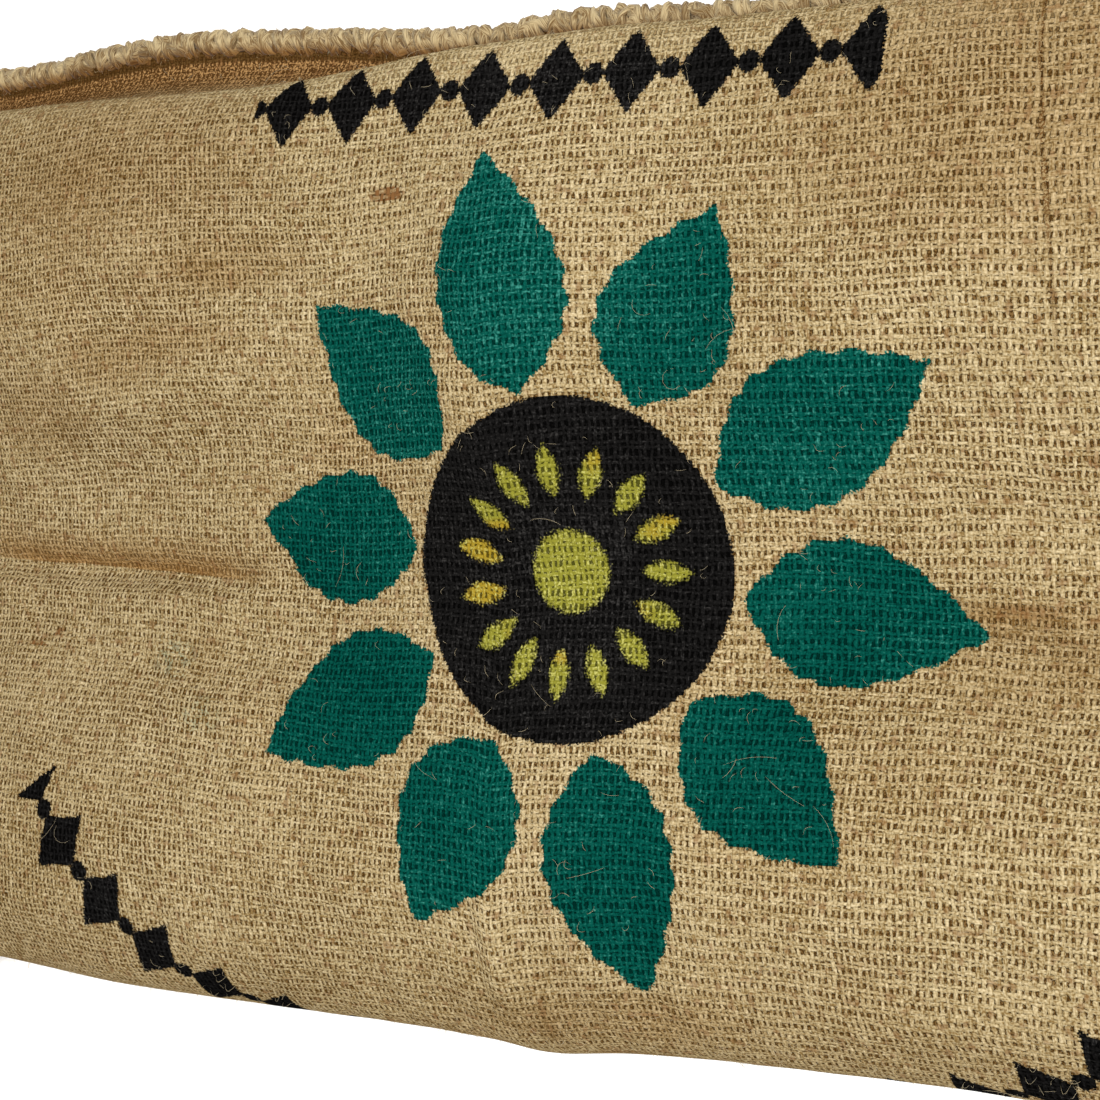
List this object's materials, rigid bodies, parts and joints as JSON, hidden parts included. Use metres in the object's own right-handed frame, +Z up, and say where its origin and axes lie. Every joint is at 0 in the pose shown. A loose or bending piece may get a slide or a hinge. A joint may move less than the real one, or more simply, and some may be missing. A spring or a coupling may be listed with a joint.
{
  "type": "burlap bag",
  "caption": "Small jute sack lying on its back, puffed and hollow, with a folded side, an overhead-stitched side and end, and an open hemmed mouth.",
  "frame": {"origin": "on the surface the sack lies on, under the middle of its box", "axes": "+X along the sack from its sewn end to its open mouth, +Y across it from the folded side to the sewn side, +Z up"},
  "size_m": [0.6006, 0.3924, 0.0834],
  "materials": {
    "jute_cloth": "rough plain-weave jute, printed in teal, black and yellow-green",
    "jute_twine": "rough twisted jute"
  },
  "bodies": {
    "root": {"bag_cloth": "jute_cloth", "side_stitching": "jute_twine", "end_stitching": "jute_twine"}
  },
  "joints": []
}
